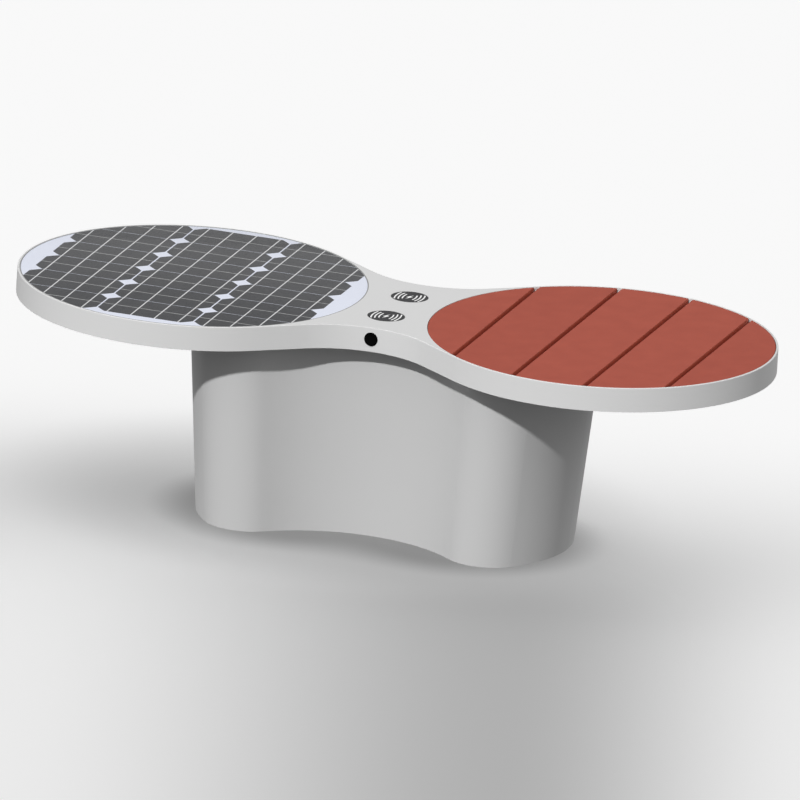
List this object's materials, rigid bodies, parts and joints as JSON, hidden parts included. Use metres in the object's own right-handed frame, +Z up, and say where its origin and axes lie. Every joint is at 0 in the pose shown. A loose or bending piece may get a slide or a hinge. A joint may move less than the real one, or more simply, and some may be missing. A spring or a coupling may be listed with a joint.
{
  "type": "solar charging bench",
  "caption": "Waisted bench on a tapered pedestal: slatted round seat, round solar panel, charging pads and a lidded socket in the waist.",
  "frame": {"origin": "on the ground under the middle of the bench", "axes": "+X from the solar panel to the seat, -Y is the front with the socket, +Z up"},
  "size_m": [1.568, 0.7078, 0.45],
  "materials": {
    "shell_paint": "satin light grey powder coat",
    "galvanised_steel": "galvanised, dull",
    "zinc_fastener": "zinc plated",
    "seat_board": "rust red composite board, fine matt grain",
    "panel_board": "phenolic faced board",
    "backsheet": "bluish white laminate",
    "solar_cell": "dark grey silicon",
    "cell_ribbon": "tinned ribbon",
    "panel_glass": "textured solar glass",
    "black_rubber": "matt",
    "black_plastic": "satin black",
    "pad_cover": "dark grey with a printed white symbol",
    "coil_copper": "copper",
    "ferrite": "dull black",
    "stainless": "plain stainless",
    "lock_chrome": "bright",
    "unit_aluminium": "anodised",
    "lead_jacket": "black jacket"
  },
  "bodies": {
    "root": {"top_shell": "shell_paint", "pedestal_shell": "shell_paint", "underside_pan": "galvanised_steel", "spine_beam": "galvanised_steel", "seat_bearers": "galvanised_steel", "panel_bearers": "galvanised_steel", "deck_posts": "galvanised_steel", "rim_brackets": "galvanised_steel", "top_flange": "galvanised_steel", "base_plate": "galvanised_steel", "hatch_frame": "galvanised_steel", "equipment_bracket": "galvanised_steel", "battery_strap": "galvanised_steel", "deck_screws": "zinc_fastener", "charger_nuts": "zinc_fastener", "flange_bolts": "zinc_fastener", "flange_nuts": "zinc_fastener", "bracket_bolts": "zinc_fastener", "seat_plank_1": "seat_board", "seat_plank_2": "seat_board", "seat_plank_3": "seat_board", "seat_plank_4": "seat_board", "seat_plank_5": "seat_board", "panel_support_board": "panel_board", "panel_backsheet": "backsheet", "solar_cells": "solar_cell", "cell_ribbons": "cell_ribbon", "panel_glass": "panel_glass", "panel_gasket": "black_rubber", "cable_grommets": "black_rubber", "hatch_seal": "black_rubber", "junction_box": "black_plastic", "charger_housing_front": "black_plastic", "charger_housing_rear": "black_plastic", "usb_bezel": "black_plastic", "usb_insert": "black_plastic", "usb_nut": "black_plastic", "usb_converter": "black_plastic", "battery": "black_plastic", "charger_cover_front": "pad_cover", "charger_cover_rear": "pad_cover", "charger_coil_front": "coil_copper", "charger_coil_rear": "coil_copper", "charger_ferrite_front": "ferrite", "charger_ferrite_rear": "ferrite", "usb_lid_pin": "stainless", "usb_lid_spring": "stainless", "hinge_pins": "stainless", "charge_controller": "unit_aluminium", "panel_lead": "lead_jacket", "battery_leads": "lead_jacket", "charger_leads": "lead_jacket", "usb_lead": "lead_jacket"},
    "socket_lid": {"usb_lid": "black_plastic"},
    "hatch_door": {"service_door": "shell_paint", "lock_housing": "lock_chrome", "lock_nut": "zinc_fastener"},
    "door_lock": {"lock_plug": "lock_chrome", "lock_cam": "stainless"}
  },
  "joints": [
    {"name": "socket_lid_hinge", "type": "hinge", "parent": "root", "child": "socket_lid", "pos_m": [0, -0.1703, 0.4364], "axis": [-1, 0, 0], "range_deg": [0, 110], "stiffness_Nm_per_rad": 0.002, "springref_deg": -17.19},
    {"name": "hatch_door_hinge", "type": "hinge", "parent": "root", "child": "hatch_door", "pos_m": [-0.11075, 0.14341, 0.2], "axis": [0, 0, 1], "range_deg": [0, 100]},
    {"name": "door_lock_turn", "type": "hinge", "parent": "hatch_door", "child": "door_lock", "pos_m": [0.084, 0.1259, 0.2], "axis": [0.2823, -0.9593, 0], "range_deg": [0, 90]}
  ]
}
